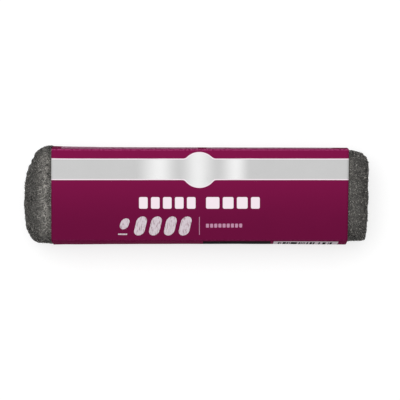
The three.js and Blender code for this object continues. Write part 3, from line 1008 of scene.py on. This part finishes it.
def strandPaths(grid, setup):  # the knots of every strand, and the way up at each knot
    normals = gridNormals(grid)
    rows, count = grid.shape[:2]
    across = np.roll(grid, -1, axis=1)[:-1] - grid[:-1]
    along = grid[1:] - grid[:-1]
    area = np.linalg.norm(np.cross(across, along), axis=-1)
    chosen = random.choice(area.size, setup["count"], p=(area / area.sum()).ravel())
    row = chosen // count + random.random(setup["count"])
    column = chosen % count + random.random(setup["count"])
    heading = random.normal(0, setup["across"], setup["count"])
    heading += random.integers(0, 2, setup["count"]) * math.pi
    turning = random.normal(0, setup["curl"], setup["count"])
    step = random.uniform(*setup["length"], setup["count"]) / setup["segments"]
    lift = random.exponential(setup["lift"], setup["count"]).clip(0, setup["highest"])
    leastWide, leastTall = setup["leastSpacing"]
    knots, ups = [], []
    for knot in range(setup["segments"] + 1):
        share = knot / setup["segments"]
        height = -setup["sunk"] + (setup["sunk"] + lift) * math.sin(math.pi * share)
        height = height + random.normal(0, setup["wobble"], setup["count"])
        up = onSurface(normals, row, column)
        knots.append(onSurface(grid, row, column) + up * height[:, None])
        ups.append(up)
        wide = np.linalg.norm(onSurface(grid, row, column + 1) - onSurface(grid, row, column), axis=1)
        tall = np.linalg.norm(onSurface(grid, row + 1, column) - onSurface(grid, row, column), axis=1)
        column = column + np.cos(heading) * step / np.maximum(wide, leastWide)
        row = np.clip(row + np.sin(heading) * step / np.maximum(tall, leastTall), 0, rows - 1.01)
        heading = heading + turning + random.normal(0, setup["kink"], setup["count"])
    return np.array(knots), np.array(ups)


def strandTubes(knots, ups, setup):  # three corners round each knot
    headings = np.gradient(knots, axis=0)
    headings /= np.linalg.norm(headings, axis=-1, keepdims=True)
    sideways = np.cross(headings, ups)
    sideways /= np.linalg.norm(sideways, axis=-1, keepdims=True)
    upwards = np.cross(sideways, headings)
    thickness = setup["radius"] * random.uniform(*setup["thickness"], setup["count"])
    corners = []
    for corner in range(3):
        turned = corner * 2 * math.pi / 3 + math.pi / 2
        corners.append(knots + (sideways * math.cos(turned) + upwards * math.sin(turned))
                       * thickness[None, :, None])
    return np.array(corners).transpose(2, 1, 0, 3)  # strand, knot, corner


def strandFaces(setup):
    total = (setup["segments"] + 1) * 3
    faces = []
    for knot in range(setup["segments"]):
        for corner in range(3):
            a = knot * 3 + corner
            b = knot * 3 + (corner + 1) % 3
            faces += [(a, b, b + 3), (a, b + 3, a + 3)]
    faces += [(2, 1, 0), (total - 3, total - 2, total - 1)]
    every = (np.arange(setup["count"]) * total)[:, None, None] + np.array(faces)
    return every.reshape(-1, 3)


def growStrands(name, grid, setup):
    knots, ups = strandPaths(grid, setup)
    points = strandTubes(knots, ups, setup)
    piece = addMesh(name, points.reshape(-1, 3), strandFaces(setup), [strandMaterial])
    # painted glints: a few knots of each strand are painted bright
    tone = random.random(knots.shape[:2]) ** setup["glintRarity"]
    # painted highlight on the crests of the wool next to the sleeve
    for place, width, amount in setup["crestHighlights"]:
        near = np.exp(-((knots[:, :, 0] - place) / width) ** 2)
        tone += amount * near * smoothStep(knots[:, :, 2], *setup["crestHighlightHeights"])
    tones = piece.data.attributes.new("strandGlintAndHighlight", "FLOAT", "POINT")
    tones.data.foreach_set("value", np.repeat(tone.T.ravel(), 3))
    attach(piece, "root")
    return piece


bareRows = roll["endRings"] + roll["sideRings"] + 1
growStrands("wool_strands_left", surface[:bareRows], strands)
growStrands("wool_strands_right", surface[-bareRows:], strands)
print("strands laid")

# floor and light
studio = {
    "floorSize": 4000,
    "floorColour": colour(165, 165, 165),
    "floorSurface": {"Roughness": 0.9, "Specular IOR Level": 0.0, "Emission Color": (1, 1, 1, 1)},
    "floorLift": 0.7,  # what the floor adds where it is seen directly, so that its lit parts are white
    "skyStrength": 0.34,  # of the light that the white surroundings give
    "keyPlace": (-160, 240, 1400),
    "keySize": 1100,
    "keyPower": 14.5,
}


def seenDirectly(tree):  # 1 where the camera, a mirror or glass shows a thing, 0 where it only gives light
    path = tree.nodes.new("ShaderNodeLightPath").outputs
    return maths(tree, "MAXIMUM", maths(tree, "MAXIMUM", path["Is Camera Ray"], path["Is Glossy Ray"]),
                 path["Is Transmission Ray"])


def makeFloor(setup):
    half = setup["floorSize"] / 2
    points = np.array([[-half, -half, 0], [half, -half, 0], [half, half, 0], [-half, half, 0]])
    material, tree, shader = newMaterial("floor")
    setInputs(shader, {"Base Color": setup["floorColour"], **setup["floorSurface"]})
    lift = maths(tree, "MULTIPLY", seenDirectly(tree), setup["floorLift"])
    put(tree, shader.inputs["Emission Strength"], lift)
    floor = addMesh("floor", points - shift, [[0, 1, 2, 3]], [material], smooth=False)


def makeLight(setup):
    world = bpy.data.worlds.new("studio")
    world.use_nodes = True
    tree = world.node_tree
    background = tree.nodes["Background"]
    background.inputs["Color"].default_value = (1, 1, 1, 1)
    white = maths(tree, "MAXIMUM", seenDirectly(tree), setup["skyStrength"])
    put(tree, background.inputs["Strength"], white)
    bpy.context.scene.world = world
    data = bpy.data.lights.new("key", "AREA")
    data.shape = "DISK"
    data.size = setup["keySize"] * mm
    data.energy = setup["keyPower"]
    key = bpy.data.objects.new("key", data)
    key.location = [value * mm for value in setup["keyPlace"]]
    key.rotation_mode = "QUATERNION"
    key.rotation_quaternion = key.location.to_track_quat("Z", "Y")
    bpy.context.scene.collection.objects.link(key)


makeFloor(studio)
makeLight(studio)
bpy.context.scene.view_settings.view_transform = "Standard"
print("floor and light placed")
